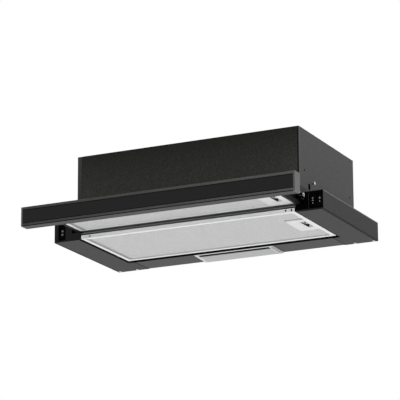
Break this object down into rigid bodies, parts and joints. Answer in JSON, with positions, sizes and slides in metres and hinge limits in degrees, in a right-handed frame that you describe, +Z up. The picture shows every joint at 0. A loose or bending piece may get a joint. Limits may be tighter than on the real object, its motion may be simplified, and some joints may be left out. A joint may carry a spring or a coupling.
{
  "type": "pull out range hood",
  "caption": "Low black pull out range hood seen with its glass fronted drawer out, grease filters below, a lamp strip at the rear and a motor box with a round outlet on top.",
  "frame": {"origin": "middle of the hood's outline, level with the lowest edge of its lamp, with the drawer drawn out", "axes": "+X across the hood to the right seen from the front, +Y to the wall, +Z up to the outlet"},
  "size_m": [0.598, 0.423, 0.2036],
  "materials": {
    "black_steel": "satin",
    "zinc_steel": "satin",
    "chrome_rail": "bright",
    "screw_steel": "bright",
    "bar_finish": "satin",
    "black_glass": "gloss",
    "black_plastic": "satin",
    "cap_plastic": "matte",
    "gloss_black": "gloss",
    "white_plastic": "satin",
    "latch_plastic": "satin",
    "lens": "frosted",
    "led_board": "matte",
    "grey_plastic": "satin",
    "filter_aluminium": "satin",
    "motor_steel": "satin"
  },
  "bodies": {
    "housing": {"tray_left": "black_steel", "tray_right": "black_steel", "rear_strip": "black_steel", "tie_strip": "black_steel", "box_front": "black_steel", "box_left": "black_steel", "box_right": "black_steel", "box_rear": "black_steel", "box_lid": "black_steel", "slide_bracket_left": "zinc_steel", "slide_bracket_right": "zinc_steel", "slide_rail_left": "chrome_rail", "slide_rail_right": "chrome_rail", "front_panel_left": "black_plastic", "front_panel_right": "black_plastic", "switch_housing_left": "gloss_black", "switch_housing_right": "gloss_black", "lamp_housing": "white_plastic", "lamp_lens": "lens", "led_board": "led_board", "outlet_collar": "grey_plastic", "scroll_left": "grey_plastic", "scroll_right": "grey_plastic", "motor": "motor_steel", "motor_bracket": "zinc_steel", "capacitor": "grey_plastic", "terminal_box": "black_plastic", "cable_gland": "black_plastic", "drawer_microswitch": "black_plastic", "box_screws": "screw_steel", "tray_screws": "screw_steel", "fixing_screws": "screw_steel"},
    "drawer": {"front_bar": "bar_finish", "front_glass": "black_glass", "bar_cap_left": "cap_plastic", "bar_cap_right": "cap_plastic", "bar_screws": "screw_steel", "drawer_side_left": "black_steel", "drawer_side_right": "black_steel", "drawer_top": "black_steel", "drawer_rear_rail": "filter_aluminium", "slider_left": "chrome_rail", "slider_right": "chrome_rail"},
    "main_filter": {"main_filter_frame": "filter_aluminium", "main_filter_mesh": "filter_aluminium", "main_latch_plate": "white_plastic"},
    "main_catch": {"main_latch": "latch_plastic"},
    "drawer_filter": {"drawer_filter_frame": "filter_aluminium", "drawer_filter_mesh": "filter_aluminium", "drawer_latch_plate": "white_plastic"},
    "drawer_catch": {"drawer_latch": "latch_plastic"},
    "fan": {"fan_wheel": "zinc_steel", "motor_shaft": "zinc_steel"},
    "power_key": {"power_rocker": "gloss_black"},
    "speed_key": {"speed_rocker": "gloss_black"},
    "light_key": {"light_rocker": "gloss_black"},
    "front_flap": {"flap_front": "grey_plastic"},
    "rear_flap": {"flap_rear": "grey_plastic"}
  },
  "joints": [
    {"name": "drawer_slide", "type": "slide", "parent": "housing", "child": "drawer", "axis": [0, -1, 0], "range_m": [-0.1137, 0]},
    {"name": "main_filter_hinge", "type": "hinge", "parent": "housing", "child": "main_filter", "pos_m": [-0.2415, -0.0725, 0.0045], "axis": [0, 1, 0], "range_deg": [0, 80]},
    {"name": "main_latch_slide", "type": "slide", "parent": "main_filter", "child": "main_catch", "axis": [-1, 0, 0], "range_m": [0, 0.004], "stiffness_N_per_m": 300},
    {"name": "drawer_filter_hinge", "type": "hinge", "parent": "drawer", "child": "drawer_filter", "pos_m": [-0.239, -0.0735, 0.0204], "axis": [0, 1, 0], "range_deg": [0, 80]},
    {"name": "drawer_latch_slide", "type": "slide", "parent": "drawer_filter", "child": "drawer_catch", "axis": [-1, 0, 0], "range_m": [0, 0.004], "stiffness_N_per_m": 300},
    {"name": "power_rocker_tilt", "type": "hinge", "parent": "housing", "child": "power_key", "pos_m": [-0.2825, -0.0657, 0.0226], "axis": [1, 0, 0], "range_deg": [0, 14]},
    {"name": "speed_rocker_tilt", "type": "hinge", "parent": "housing", "child": "speed_key", "pos_m": [0.2751, -0.0657, 0.0226], "axis": [1, 0, 0], "range_deg": [-7, 7]},
    {"name": "light_rocker_tilt", "type": "hinge", "parent": "housing", "child": "light_key", "pos_m": [0.2899, -0.0657, 0.0226], "axis": [1, 0, 0], "range_deg": [0, 14]},
    {"name": "fan_spin", "type": "hinge", "parent": "housing", "child": "fan", "pos_m": [0, 0.0525, 0.1166], "axis": [1, 0, 0], "continuous": true},
    {"name": "flap_front_hinge", "type": "hinge", "parent": "housing", "child": "front_flap", "pos_m": [0, 0.0935, 0.1874], "axis": [-1, 0, 0], "range_deg": [0, 80]},
    {"name": "flap_rear_hinge", "type": "hinge", "parent": "housing", "child": "rear_flap", "pos_m": [0, 0.0995, 0.1874], "axis": [1, 0, 0], "range_deg": [0, 80]}
  ]
}
